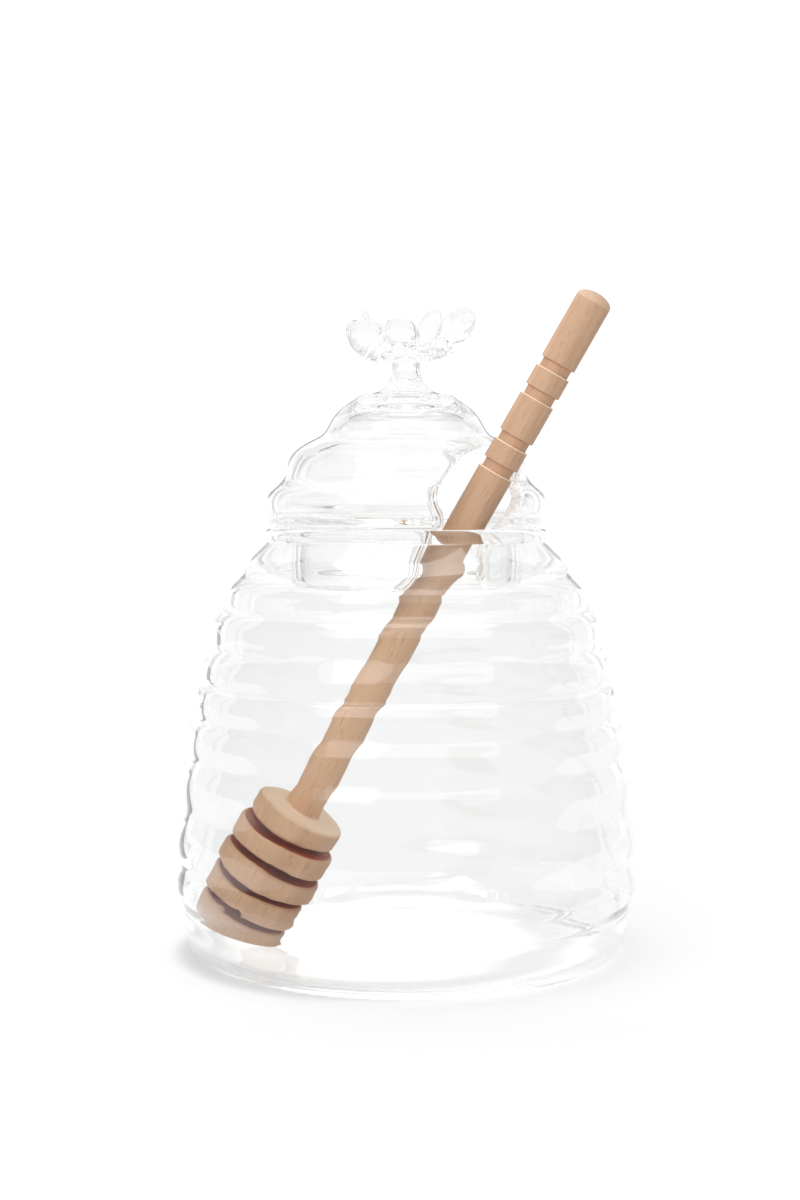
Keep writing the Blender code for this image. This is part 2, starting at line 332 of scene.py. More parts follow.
# Other cards that face the stage's middle: (name, place, size, brightness, way).
PLACED_CARDS = (
    ("dark_front", (0.0, -0.95, 0.5), (2.8, 1.8), 0.02, MIRRORED),
    ("dark_left", (-1.15, -0.25, 0.5), (1.5, 1.8), 0.02, MIRRORED),
    ("dark_right", (1.15, -0.25, 0.5), (1.5, 1.8), 0.02, MIRRORED),
    ("soft_front", (0.0, -0.75, 0.76), (2.4, 1.0), 1.5, MIRRORED),
    ("dark_back", (0.0, 0.60, 0.215), (0.6, 0.09), 0.1, MIRRORED),
    ("grey_back", (0.0, 0.62, 0.48), (1.1, 0.44), 0.92, MIRRORED),
    ("soft_top", (0.0, -0.12, 1.1), (1.6, 0.8), 5.0, THROUGH),
    ("shade_right", (0.9, -0.05, 0.2), (1.6, 1.0), 0.0, SHADING),
)
# Cards that lie just over the floor: (name, place, size, brightness, way, turn in degrees).
GROUND_CARDS = (
    ("dark_ground", (0.0, -0.62, 0.002), (3.0, 1.13), 0.02, MIRRORED, 0.0),
    ("ground_back", (0.0, 0.60, 0.0004), (1.6, 1.06), 0.96, THROUGH, 0.0),
    ("line_left", (-0.29, 0.36, 0.001), (0.025, 0.74), 0.14, THROUGH, 34.5),
    ("line_right", (0.29, 0.36, 0.001), (0.015, 0.74), 0.8, THROUGH, -34.5),
)


# ---------------------------------------------------------------- sizes and colours


def length(name, description, default):
    """A property that holds a length in metres."""
    return bpy.props.FloatProperty(
        name=name, description=description, default=default, min=0.0, unit="LENGTH"
    )


def share(name, description, default):
    """A property that holds a share from 0 to 1."""
    return bpy.props.FloatProperty(
        name=name, description=description, default=default, min=0.0, max=1.0, subtype="FACTOR"
    )


def colour(name, description, default):
    """A property that holds a colour."""
    return bpy.props.FloatVectorProperty(
        name=name, description=description, default=default, size=3, min=0.0, max=1.0, subtype="COLOR"
    )


def count(name, description, default):
    """A property that holds a whole number from 1 up."""
    return bpy.props.IntProperty(name=name, description=description, default=default, min=1)


class HoneyGlassSettings(bpy.types.PropertyGroup):
    """The clear glass of the jar and the lid"""

    tint: colour("Tint", "Colour of the clear glass", (0.982, 0.985, 0.983))
    roughness: share("Roughness", "Roughness of the fire polished glass", 0.0)
    ior: bpy.props.FloatProperty(
        name="IOR", description="Refraction of borosilicate glass", default=1.47, min=1.0
    )
    ripple: share("Ripple", "Strength of the faint ripple of hand blown glass", 0.05)


class HoneyJarSettings(bpy.types.PropertyGroup):
    """Sizes of the jar"""

    wall: length("Wall", "Thickness of the jar's wall", 0.0022)
    floor: length("Floor", "Thickness of the jar's floor", 0.0020)
    ring_depth: length("Ring depth", "Depth of the grooves between the rings", 0.00075)
    inner_drop: length("Inner drop", "How far the rings inside lie under those outside", 0.0002)
    groove_softness: share("Groove softness", "How rounded the grooves between rings are", 0.4)
    inner_softness: share("Inner softness", "The same for the grooves inside", 0.5)
    mouth_radius: length("Mouth radius", "Radius of the open mouth", 0.0282)
    rim_rounding: length("Rim rounding", "Rounding of the rim's edges", 0.0015)
    sides: count("Sides", "Steps round the jar", 144)


class HoneyLidSettings(bpy.types.PropertyGroup):
    """Sizes of the lid, its notch and the bead on the notch's edge"""

    notch_turn: bpy.props.FloatProperty(
        name="Notch turn",
        description="How far the notch is turned to the right of the front",
        default=math.radians(25.0),
        subtype="ANGLE",
    )
    bead_width: length("Bead width", "Width of the bead pulled down the notch's left edge", 0.00172)
    bead_height: length("Bead height", "Half the depth of that bead, in and out", 0.00325)
    crowding: share("Crowding", "How much denser the mesh is beside the notch", 0.95)
    sides: count("Sides", "Steps round the lid", 120)
    points: count("Points", "Points between two stations of the wall", 2)
    easing: count("Easing", "Rounds that even out the curves of the wall", 3)


class HoneyBeeSettings(bpy.types.PropertyGroup):
    """Sizes that fuse the bee from its lumps"""

    stripe: length("Stripe", "Thickness of the stripes pulled round the abdomen", 0.00045)
    voxel: length("Voxel", "Size of the cells that fuse the bee's lumps", 0.00022)
    smoothing: count("Smoothing", "Rounds of smoothing after the lumps are fused", 8)


class HoneyDipperSettings(bpy.types.PropertyGroup):
    """Colours of the dipper's wood"""

    wood: colour("Wood", "Colour of the bare wood", (0.505, 0.310, 0.192))
    # Painted light: the wood inside the jar is painted paler than the handle outside.
    head: colour("Head wood", "Colour of the wood inside the jar", (0.68, 0.41, 0.24))
    pale: colour("Pale wood", "Colour of its paler streaks", (0.70, 0.47, 0.31))
    # Used for the painted highlights on the top disc and on the grooves' lower rims, and the paler
    # tip.
    end: colour("Ends", "Colour of the sanded edges and the tip", (0.96, 0.76, 0.56))
    fleck: colour("Fleck", "Colour of its fine flecks", (0.40, 0.215, 0.115))
    # Real scorch in the head's grooves, painted shade in the handle's grooves.
    scorch_and_shade: colour("Scorch", "Colour inside the head's deep grooves", (0.42, 0.072, 0.012))
    sides: count("Sides", "Steps round the dipper", 72)


class HoneyStageSettings(bpy.types.PropertyGroup):
    """Floor, light and camera"""

    floor_colour: colour("Floor", "Colour of the floor", (0.30, 0.30, 0.30))
    floor_glow: share("Glow", "Light that comes through the floor from below", 0.65)
    far_glow: share("Far glow", "The same light further away", 0.86)
    # Painted light: the floor glows brighter under the jar.
    painted_light_under_jar: share("Glow under the jar", "The same light under the jar itself", 1.0)
    # Painted shadow: the floor's glow is less in a ring at the jar's foot.
    painted_contact_shadow: share("Contact", "How much of it is lost beside the jar's foot", 0.30)
    surround: bpy.props.FloatProperty(
        name="Surround", description="Brightness of the white all round", default=1.12, min=0.0
    )
    bounces: count("Bounces", "Times that light turns in the clear glass", 96)
    lens: bpy.props.FloatProperty(name="Lens", description="Focal length in mm", default=55.95)
    shift: bpy.props.FloatProperty(
        name="Shift", description="Lens shift that frames the jar", default=-0.0917
    )


# ---------------------------------------------------------------- materials


class Nodes:
    """A material's nodes.

    node() adds one and sets its plain inputs, link() joins two sockets, and set() sets inputs of
    the material's own shader.
    """

    def __init__(self, name):
        self.material = bpy.data.materials.new(name)
        self.material.use_nodes = True
        self.tree = self.material.node_tree
        self.shader = self.tree.nodes["Principled BSDF"]

    def node(self, kind, settings=(), **inputs):
        made = self.tree.nodes.new(kind)
        for key, value in dict(settings).items():
            setattr(made, key, value)
        for key, value in inputs.items():
            made.inputs[key.replace("_", " ")].default_value = value
        return made

    def link(self, source, target):
        self.tree.links.new(source, target)

    def set(self, **inputs):
        for key, value in inputs.items():
            self.shader.inputs[key.replace("_", " ")].default_value = value


def glass_material(name):
    """Clear glass with a faint ripple."""
    settings = bpy.context.scene.honey_glass
    made = Nodes(name)
    made.set(
        Base_Color=(*settings.tint, 1.0),
        Roughness=settings.roughness,
        IOR=settings.ior,
        Transmission_Weight=1.0,
    )
    place = made.node("ShaderNodeTexCoord")
    ripple = made.node("ShaderNodeTexNoise", Scale=RIPPLE_SCALE, Detail=1.0, Roughness=0.4)
    bump = made.node("ShaderNodeBump", Strength=settings.ripple, Distance=RIPPLE_DEPTH)
    made.link(place.outputs["Object"], ripple.inputs["Vector"])
    made.link(ripple.outputs["Fac"], bump.inputs["Height"])
    made.link(bump.outputs["Normal"], made.shader.inputs["Normal"])
    return made.material


def along_dipper(made):
    """Object coordinates turned so that Z runs up the dipper's axis from its foot."""
    place = made.node("ShaderNodeTexCoord")
    turn = made.node("ShaderNodeMapping", {"vector_type": "TEXTURE"})
    turn.inputs["Location"].default_value = DIPPER_FOOT * MM
    turn.inputs["Rotation"].default_value = DIPPER_LEAN.to_euler("XYZ")
    made.link(place.outputs["Object"], turn.inputs["Vector"])
    return turn.outputs["Vector"]


def wood_material():
    """Wood with grain and flecks, paler at the tip, scorched in the head's grooves, and painted light
    and shade.
    """
    settings = bpy.context.scene.honey_dipper
    made = Nodes("dipper_wood")
    vector = along_dipper(made)

    def grain(across, along, detail, roughness):
        """Noise drawn out along the dipper."""
        scale = made.node("ShaderNodeMapping")
        scale.inputs["Scale"].default_value = (across, across, along)
        noise = made.node("ShaderNodeTexNoise", Scale=1.0, Detail=detail, Roughness=roughness)
        made.link(vector, scale.inputs["Vector"])
        made.link(scale.outputs["Vector"], noise.inputs["Vector"])
        return noise.outputs["Fac"]

    def ranged(source, low, high, start, end):
        made_range = made.node(
            "ShaderNodeMapRange", From_Min=low, From_Max=high, To_Min=start, To_Max=end
        )
        made.link(source, made_range.inputs["Value"])
        return made_range.outputs["Result"]

    def mixed(factor, first, second):
        mix = made.node("ShaderNodeMixRGB")
        made.link(factor, mix.inputs["Fac"])
        for socket, value in (("Color1", first), ("Color2", second)):
            if isinstance(value, bpy.types.NodeSocket):
                made.link(value, mix.inputs[socket])
            else:
                mix.inputs[socket].default_value = (*value, 1.0)
        return mix.outputs["Color"]

    grains = {name: grain(*numbers) for name, numbers in GRAINS.items()}
    axes = made.node("ShaderNodeSeparateXYZ")
    made.link(vector, axes.inputs["Vector"])
    # Painted light: the wood inside the jar takes the paler head colour.
    up_handle = ranged(axes.outputs["Z"], *HEAD_PAINTED_LIGHT_END, 0.0, 1.0)
    base = mixed(up_handle, settings.head, settings.wood)
    for name, colour_name, low, high, strength in GRAIN_COLOURS:
        amount = ranged(grains[name], low, high, 0.0, strength)
        base = mixed(amount, base, getattr(settings, colour_name))
    # Painted highlights and the paler tip, then the head's scorch and the handle grooves' painted
    # shade.
    for name, finish in (("pale", settings.end), ("scorch_and_shade", settings.scorch_and_shade)):
        amount = made.node("ShaderNodeAttribute", {"attribute_name": name}).outputs["Fac"]
        base = mixed(amount, base, finish)
    made.link(base, made.shader.inputs["Base Color"])
    roughness = ranged(grains["streaks"], 0.0, 1.0, *WOOD_ROUGHNESS)
    made.link(roughness, made.shader.inputs["Roughness"])
    bump = made.node("ShaderNodeBump", Strength=FLECK_BUMP, Distance=FLECK_DEPTH)
    made.link(grains["flecks"], bump.inputs["Height"])
    made.link(bump.outputs["Normal"], made.shader.inputs["Normal"])
    return made.material


def floor_material():
    """White, and glowing more under the jar than round it, a painted pool of light.

    A ring of less glow at the jar's foot, where the jar touches the floor, is a painted contact
    shadow.
    """
    stage = bpy.context.scene.honey_stage
    made = Nodes("floor_with_painted_light")
    made.set(Base_Color=(*stage.floor_colour, 1.0), Roughness=FLOOR_ROUGHNESS)
    made.set(Emission_Color=WHITE)
    place = made.node("ShaderNodeTexCoord")
    glows = []
    # Painted pool of light under the jar, painted contact shadow ring, and the brighter far floor.
    for middle, (near, far), start, end in (
        (FLOOR_MIDDLE, UNDER_JAR_FADE, stage.painted_light_under_jar - stage.floor_glow, 0.0),
        (CONTACT_SHADOW_MIDDLE, CONTACT_SHADOW_OUTSIDE, -stage.painted_contact_shadow, 0.0),
        (CONTACT_SHADOW_MIDDLE, CONTACT_SHADOW_INSIDE, stage.painted_contact_shadow, 0.0),
        (FLOOR_MIDDLE, FAR_FADE, stage.floor_glow, stage.far_glow),
    ):
        distance = made.node("ShaderNodeVectorMath", {"operation": "DISTANCE"})
        distance.inputs[1].default_value = (*middle, 0.0)
        made.link(place.outputs["Object"], distance.inputs[0])
        glow = made.node(
            "ShaderNodeMapRange",
            {"interpolation_type": "SMOOTHSTEP"},
            From_Min=near,
            From_Max=far,
            To_Min=start,
            To_Max=end,
        )
        made.link(distance.outputs["Value"], glow.inputs["Value"])
        glows.append(glow.outputs["Result"])
    total = glows[0]
    for glow in glows[1:]:
        both = made.node("ShaderNodeMath", {"operation": "ADD"})
        made.link(total, both.inputs[0])
        made.link(glow, both.inputs[1])
        total = both.outputs["Value"]
    made.link(total, made.shader.inputs["Emission Strength"])
    return made.material


# ---------------------------------------------------------------- modelling helpers


def deselect():
    """Leaves edit mode and selects nothing."""
    if bpy.context.object and bpy.context.object.mode != "OBJECT":
        bpy.ops.object.mode_set(mode="OBJECT")
    bpy.ops.object.select_all(action="DESELECT")


def make_active(item):
    deselect()
    item.select_set(True)
    bpy.context.view_layer.objects.active = item


def smooth_curve(points, steps):
    """A smooth (Catmull-Rom) curve through the given points, with some steps between each two."""
    last = len(points) - 1
    curve = []
    for i in range(last):
        near = (points[max(i - 1, 0)], points[i], points[i + 1], points[min(i + 2, last)])
        for step in range(steps):
            t = step / steps
            curve.append(
                tuple(
                    0.5 * (2 * b + (c - a) * t + (2 * a - 5 * b + 4 * c - d) * t**2)
                    + 0.5 * (3 * b - a - 3 * c + d) * t**3
                    for a, b, c, d in zip(*near)
                )
            )
    curve.append(tuple(points[-1]))
    return curve


def relaxed(points, rounds):
    """The same chain of points with its curvature evened out, ends kept."""
    for _ in range(rounds):
        inner = [
            tuple((a + 2 * b + c) / 4 for a, b, c in zip(*near))
            for near in zip(points, points[1:], points[2:])
        ]
        points = [points[0], *inner, points[-1]]
    return points


def arc(centre, radius, start, end, step_angle):
    """Points of an arc in the (radius, height) plane, angles in degrees, ends included."""
    steps = round((end - start) / step_angle)
    angles = [math.radians(start + (end - start) * step / steps) for step in range(steps + 1)]
    return [(centre[0] + radius * math.cos(a), centre[1] + radius * math.sin(a)) for a in angles]


def drawn_outline(name, outline, turn=0.0):
    """A chain of edges through the outline's (radius, height) points, extruded one by one."""
    deselect()
    across = Vector((math.cos(turn), math.sin(turn), 0.0))
    places = [(across * radius + Vector((0, 0, height))) * MM for radius, height in outline]
    bpy.ops.mesh.primitive_plane_add(size=MM, location=(0, 0, 0))
    item = bpy.context.object
    item.name = name
    item.data.name = name
    bpy.ops.object.mode_set(mode="EDIT")
    bpy.ops.mesh.merge(type="CENTER")
    bpy.ops.transform.translate(value=places[0])
    for before, after in zip(places, places[1:]):
        bpy.ops.mesh.extrude_vertices_move(TRANSFORM_OT_translate={"value": after - before})
    bpy.ops.mesh.select_all(action="SELECT")
    return item


def turned(name, outline, sides):
    """A closed body turned round Z from an outline that starts and ends on the axis."""
    item = drawn_outline(name, outline)
    close_turned(item, sides)
    return item


def close_turned(item, sides):
    """Turns the outline once round Z and closes the body."""
    make_active(item)
    bpy.ops.object.mode_set(mode="EDIT")
    bpy.ops.mesh.select_all(action="SELECT")
    bpy.ops.mesh.spin(
        steps=sides, angle=math.tau, center=(0, 0, 0), axis=(0, 0, 1), use_auto_merge=True
    )
    bpy.ops.mesh.select_all(action="SELECT")
    bpy.ops.mesh.remove_doubles(threshold=TURNED_MERGE)
    bpy.ops.mesh.normals_make_consistent(inside=False)
    bpy.ops.object.mode_set(mode="OBJECT")


def applied(item, kind, **settings):
    """Adds a modifier with the given settings and applies it."""
    make_active(item)
    step = item.modifiers.new(kind.title(), kind)
    for key, value in settings.items():
        setattr(step, key, value)
    bpy.ops.object.modifier_apply(modifier=step.name)


def finished(item, finish, node, angle=35.0):
    """Shades the piece, gives it its finish and lets it stand for its node."""
    make_active(item)
    item.data.materials.clear()
    item.data.materials.append(finish)
    bpy.ops.object.transform_apply(location=True, rotation=True, scale=True)
    bpy.ops.object.shade_smooth_by_angle(angle=math.radians(angle))
    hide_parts(node)
    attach(item, "root")


# ---------------------------------------------------------------- jar


def ringed(depth, softness):
    """(radius, height) up a wall whose rounded rings have their crests at RING_CRESTS."""
    full = math.sqrt(1 + softness**2) - softness
    points = []
    for (low, low_radius), (high, high_radius) in zip(RING_CRESTS, RING_CRESTS[1:]):
        for step in range(RING_STEPS):
            t = step / RING_STEPS
            wave = math.sqrt(math.cos(math.pi * t) ** 2 + softness**2) - softness
            radius = low_radius + (high_radius - low_radius) * t - depth * (1 - wave / full)
            points.append((radius, low + (high - low) * t))
    points.append(RING_CRESTS[-1][::-1])
    return points


def jar_outline():
    """(radius, height) from the middle of the underside, over the rim, to the middle of the floor."""
    jar = bpy.context.scene.honey_jar
    wall, floor, mouth = jar.wall / MM, jar.floor / MM, jar.mouth_radius / MM
    rounding, depth = jar.rim_rounding / MM, jar.ring_depth / MM
    foot = smooth_curve(FOOT_CURVE, FOOT_STEPS)
    outside = ringed(depth, jar.groove_softness)
    outer, inner = RIM_OUTER_RADIUS - rounding, mouth + rounding
    lower, upper = RIM_BOTTOM + rounding, RIM_TOP - rounding
    rim = (
        [SHOULDER_TOP]
        + arc((outer, lower), rounding, RIM_START_ANGLE, 0, RIM_ARC_STEP)
        + arc((outer, upper), rounding, 0, 90, RIM_ARC_STEP)
        + arc((inner, upper), rounding, 90, 180, RIM_ARC_STEP)
    )
    drop = jar.inner_drop / MM
    rings = ringed(depth, jar.inner_softness)
    inside = [(radius - wall, height - drop) for radius, height in rings if height > INNER_START]
    neck = [(mouth + wider, RIM_BOTTOM + above) for wider, above in NECK]
    neck = smooth_curve((inside[-NECK_POINTS], *neck), INNER_STEPS)
    inside = inside[:-NECK_POINTS] + neck
    corner = [(RING_CRESTS[0][1] - wall, FLOOR_CORNER_TOP)]
    corner += [(radius, floor + above) for radius, above in FLOOR_CORNER]
    corner = smooth_curve((inside[0], *corner), INNER_STEPS)
    return foot + outside + rim + inside[::-1] + corner[1:]


class HONEY_OT_jar(bpy.types.Operator):
    """Model the ringed glass jar"""

    bl_idname = "honey.jar"
    bl_label = "Glass jar"

    def execute(self, context):
        item = turned("glass_jar", jar_outline(), context.scene.honey_jar.sides)
        finished(item, glass_material("jar_glass"), "jar")
        return {"FINISHED"}


# ---------------------------------------------------------------- lid and bee


def between(rows, at):
    """The numbers at a height in a table whose first column, the height, runs upwards."""
    for low, high in zip(rows, rows[1:]):
        if at <= high[0]:
            t = max(0.0, (at - low[0]) / (high[0] - low[0]))
            return [a + (b - a) * t for a, b in zip(low[1:], high[1:])]
    return list(rows[-1][1:])


def lid_outline(wall):
    """The lid's outline from its crown inside, round the plug's edge, up to the stem's top.

    It is returned with the number of its points that come before the wall's.
    """
    steps = bpy.context.scene.honey_lid.points
    crown = smooth_curve(CROWN_INSIDE, steps)[::-1]
    inner = [(row[2], row[3]) for row in wall]
    outer = [(row[0], row[1]) for row in wall]
    stem = smooth_curve(STEM_OUTSIDE, steps) + [(0.0, STEM_OUTSIDE[-1][1])]
    return len(crown), crown + inner[::-1] + outer + stem


def marked_rows(item, crown_count, wall):
    """Writes on each point of the outline which row of the wall it belongs to."""
    rows = item.data.attributes.new("row", "INT", "POINT")
    last = len(wall) - 1
    for i in range(len(item.data.vertices)):
        place = i - crown_count
        row = last - place if place <= last else place - last - 1
        rows.data[i].value = min(row, last)


def notched_lid():
    """The lid is turned with an open seam, which is drawn apart to make the notch."""
    lid = bpy.context.scene.honey_lid
    seam = lid.notch_turn - math.pi / 2
    wall = relaxed(smooth_curve(LID_WALL, lid.points), lid.easing)
    crown_count, outline = lid_outline(wall)
    item = drawn_outline("glass_lid", outline, seam)
    bpy.ops.object.mode_set(mode="OBJECT")
    marked_rows(item, crown_count, wall)
    bpy.ops.object.mode_set(mode="EDIT")
    bpy.ops.mesh.select_all(action="SELECT")
    bpy.ops.mesh.spin(
        steps=lid.sides, angle=math.tau, center=(0, 0, 0), axis=(0, 0, 1), use_auto_merge=False
    )
    bpy.ops.object.mode_set(mode="OBJECT")
    draw_seam_apart(item, wall, seam)
    bpy.ops.object.mode_set(mode="EDIT")
    bpy.ops.mesh.select_all(action="SELECT")
    bpy.ops.mesh.remove_doubles(threshold=SEAM_MERGE)
    bpy.ops.mesh.normals_make_consistent(inside=False)
    bpy.ops.object.mode_set(mode="OBJECT")
    applied(item, "SUBSURF", levels=1, render_levels=1)
    return item


def notch_rows(wall):
    """For each row of the wall: its middle (radius, height), length so far, and notch's edges.

    The edges are sideways distances from the line that the notch faces. They meet at the top row,
    whose number comes first, and the rows above it have none.
    """
    top_row = max(i for i, row in enumerate(wall) if row[1] <= NOTCH_EDGES[-1][0])
    top = wall[top_row][1]
    edges = [edge for edge in smooth_curve(NOTCH_EDGES, EDGE_STEPS)[:-1] if edge[0] < top]
    edges.append((top, *NOTCH_EDGES[-1][1:]))
    rows = []
    run = 0.0
    for i, (outer_radius, outer_height, inner_radius, inner_height) in enumerate(wall):
        middle = ((outer_radius + inner_radius) / 2, (outer_height + inner_height) / 2)
        if rows:
            run += math.dist(middle, rows[-1][0])
        sideways = between(edges, outer_height) if i <= top_row else None
        rows.append((middle, run, sideways))
    return top_row, rows


def nearest(turn, radius, run, edge):
    """(gap, run) from a place on the wall to the nearest place on one edge of the notch."""
    best = (math.inf, 0.0)
    for (turn_a, run_a), (turn_b, run_b) in zip(edge, edge[1:]):
        across, along = (turn_b - turn_a) * radius, run_b - run_a
        to_x, to_y = (turn - turn_a) * radius, run - run_a
        t = max(0.0, min(1.0, (to_x * across + to_y * along) / (across**2 + along**2)))
        gap = math.hypot(to_x - t * across, to_y - t * along)
        best = min(best, (gap, run_a + t * along))
    return best


def bead_profile(gap, half_wall, strength):
    """Half the wall's thickness at a distance from its edge, which thins out or ends in a bead.

    The bead is an ellipse that touches the edge, and the thinned wall a quarter of one.
    """
    lid = bpy.context.scene.honey_lid
    half_width = lid.bead_width / MM / 2
    bead = lid.bead_height / MM * math.sqrt(max(0.0, 1 - (gap / half_width - 1) ** 2))
    bead = bead if gap < half_width else max(bead, half_wall)
    plain = half_wall * math.sqrt(1 - max(0.0, 1 - gap / EDGE_TAPER) ** 2)
    return plain + (bead - plain) * strength


def seam_turns(shape, seam):
    """The turn of each point from the seam: 0 on one side of it, a full turn on the other."""
    turns = {}
    for vert in shape.verts:
        turn = (math.atan2(vert.co.y, vert.co.x) - seam) % math.tau
        if min(turn, math.tau - turn) < ON_SEAM:
            middle = sum((face.calc_center_median() for face in vert.link_faces), Vector())
            side = (math.atan2(middle.y, middle.x) - seam) % math.tau
            turn = 0.0 if side < math.pi else math.tau
        turns[vert] = turn
    return turns


def draw_seam_apart(item, wall, seam):
    """Moves every point round Z so that the seam's two sides follow the notch's two edges.

    Beside the notch the two faces of the wall close in a thin edge or a bead.
    """
    lid = bpy.context.scene.honey_lid
    top_row, places = notch_rows(wall)
    edges = [
        [
            (math.asin(sideways[side] / middle[0]), run)
            for middle, run, sideways in places[: top_row + 1]
        ]
        for side in (0, 1)
    ]
    top_run = places[top_row][1]
    shape = bmesh.new()
    shape.from_mesh(item.data)
    rows = shape.verts.layers.int["row"]
    for vert, turn in seam_turns(shape, seam).items():
        radius = math.hypot(vert.co.x, vert.co.y) / MM
        if radius < ON_AXIS:
            continue
        # The points crowd towards the notch, and share out the way round from edge to edge.
        turn -= lid.crowding * math.sin(turn)
        row = vert[rows]
        middle, run, _ = places[row]
        reach = places[min(row, top_row)][0][0]
        left, right = places[min(row, top_row)][2]
        first, final = math.asin(right / reach), math.tau + math.asin(left / reach)
        flat = first + (final - first) * turn / math.tau
        near = (flat + math.pi) % math.tau - math.pi
        if abs(near) < NOTCH_REACH and row < len(wall) - 1:
            outer_radius, outer_height, inner_radius, inner_height = wall[row]
            half = math.dist((outer_radius, outer_height), (inner_radius, inner_height)) / 2
            gap, left_run = nearest(near, middle[0], run, edges[0])
            right_gap, _ = nearest(near, middle[0], run, edges[1])
            strength = min(1.0, max(0.0, (top_run - left_run - BEAD_END) / BEAD_FADE))
            if right_gap < gap:
                gap, strength = right_gap, 0.0
            swell = bead_profile(gap, half, strength) / half
            radius = middle[0] + (radius - middle[0]) * swell
            vert.co.z = (middle[1] + (vert.co.z / MM - middle[1]) * swell) * MM
        vert.co.x = radius * math.cos(seam + flat) * MM
        vert.co.y = radius * math.sin(seam + flat) * MM
    shape.to_mesh(item.data)
    shape.free()


def bee_axis(lean):
    """The long way of a lump that leans by an angle in degrees."""
    return Vector((math.cos(math.radians(lean)), 0.0, -math.sin(math.radians(lean))))


def lump(centre, half, lean, turn):
    """One rounded lump of the bee."""
    bpy.ops.mesh.primitive_uv_sphere_add(
        segments=LUMP_SEGMENTS, ring_count=LUMP_RINGS, radius=MM
    )
    item = bpy.context.object
    item.scale = half
    item.rotation_euler = (0.0, math.radians(lean), math.radians(turn))
    item.location = Vector(centre) * MM
    return item


def glass_bee():
    """The bee: its lumps and wings are fused into one body with soft joins."""
    bee = bpy.context.scene.honey_bee
    deselect()
    parts = [lump(*piece) for piece in (*BEE_BODY, FAR_WING)]
    for lean, reach in FAR_WING_RIBS:
        middle = FAR_WING_ROOT + bee_axis(lean) * reach / 2
        parts.append(lump(middle, (reach / 2, RIB_HALF_WIDTH, RIB_HALF_WIDTH), lean, FAR_WING[3]))
    centre, lean = ABDOMEN[0], ABDOMEN[2]
    for along, radius in ABDOMEN_STRIPES:
        bpy.ops.mesh.primitive_torus_add(
            major_radius=radius * MM,
            minor_radius=bee.stripe,
            major_segments=STRIPE_SEGMENTS,
            minor_segments=STRIPE_SIDES,
            rotation=(0.0, math.radians(90 + lean), 0.0),
            location=(Vector(centre) + bee_axis(lean) * (along - centre[0])) * MM,
        )
        parts.append(bpy.context.object)
    for part in parts:
        part.select_set(True)
    bpy.context.view_layer.objects.active = parts[0]
    bpy.ops.object.join()
    item = bpy.context.object
    item.name = "glass_bee"
    bpy.ops.object.transform_apply(location=True, rotation=True, scale=True)
    applied(item, "REMESH", mode="VOXEL", voxel_size=bee.voxel)
    applied(item, "SMOOTH", factor=SMOOTH_FACTOR, iterations=bee.smoothing)
    return item


class HONEY_OT_lid(bpy.types.Operator):
    """Model the glass lid with its notch, and fuse the glass bee on its stem"""

    bl_idname = "honey.lid"
    bl_label = "Glass lid and bee"

    def execute(self, context):
        item = notched_lid()
        bee = glass_bee()
        applied(item, "BOOLEAN", operation="UNION", solver="EXACT", object=bee)
        bpy.data.objects.remove(bee, do_unlink=True)
        finished(item, glass_material("lid_glass"), "lid", angle=60.0)
        return {"FINISHED"}


# ---------------------------------------------------------------- dipper


def dipper_outline():
    """(radius, distance along the axis, darkening, paleness) from the middle of the foot to the tip.
    """
    # Darkening: scorch in the head's grooves, painted shade in the handle's. Paleness: painted
    # highlight on the top disc and the grooves' rims, and the paler tip.
    outline = [(0.0, 0.0, 0, 0), (FOOT_FLAT_SHARE * DISC_RADII[0], 0.0, 0, 0)]
    bottom = 0.0
    last = len(DISC_RADII) - 1
    for number, radius in enumerate(DISC_RADII):
        top = bottom + DISC_HEIGHT
        edge = radius - DISC_ROUNDING
        below, above = int(number > 0), int(number < last)
        if below:
            outline.append((CORE_RADIUS, bottom, 1, 0))
            outline.append((edge - DISC_FACE_MARGIN, bottom, 1, 0))
        lower = arc((edge, bottom + DISC_ROUNDING), DISC_ROUNDING, -90, 0, DISC_ARC_STEP)
        outline.extend((r, z, below if i == 0 else 0, 0) for i, (r, z) in enumerate(lower))
        turn = DISC_ROUNDING if above else TOP_ROUNDING
        upper = arc((radius - turn, top - turn), turn, 0, 90, DISC_ARC_STEP)
        # Painted highlight: the top disc's rounding pales step by step up to its face.
        pale, highlight_step = (0.0, 0.0) if above else (TOP_HIGHLIGHT, TOP_HIGHLIGHT_STEP)
        outline.extend((r, z, 0, highlight_step * i) for i, (r, z) in enumerate(upper[:-1]))
        outline.append((*upper[-1], above, highlight_step * (len(upper) - 1)))
        outline.append((radius - turn - DISC_FACE_MARGIN, top, above, pale))
        middle = CORE_RADIUS if above else HANDLE_RADIUS + HANDLE_FILLET[0]
        outline.append((middle, top, above, pale))
        bottom = top + DISC_GROOVE
    outline.append((HANDLE_RADIUS, top + HANDLE_FILLET[1], 0, 0))
    handle = []
    mark = dome = DIPPER_LENGTH - TIP_DOME
    for band in HANDLE_BANDS:
        mark -= band
        for edge, profile in ((mark, GROOVE_TOP), (mark - HANDLE_GROOVE, GROOVE_FOOT)):
            handle.extend((HANDLE_RADIUS - row[0], edge + row[1], *row[2:]) for row in profile)
        mark -= HANDLE_GROOVE
    outline.extend(reversed(handle))
    outline.append((HANDLE_RADIUS, dome - TIP_MARGIN, 0, 0))
    for step in range(TIP_STEPS):
        angle = math.pi / 2 * step / TIP_STEPS
        radius, height = HANDLE_RADIUS * math.cos(angle), dome + TIP_DOME * math.sin(angle)
        outline.append((radius, height, 0, TIP_PALE))
    outline.append((0.0, DIPPER_LENGTH, 0, TIP_PALE))
    return outline


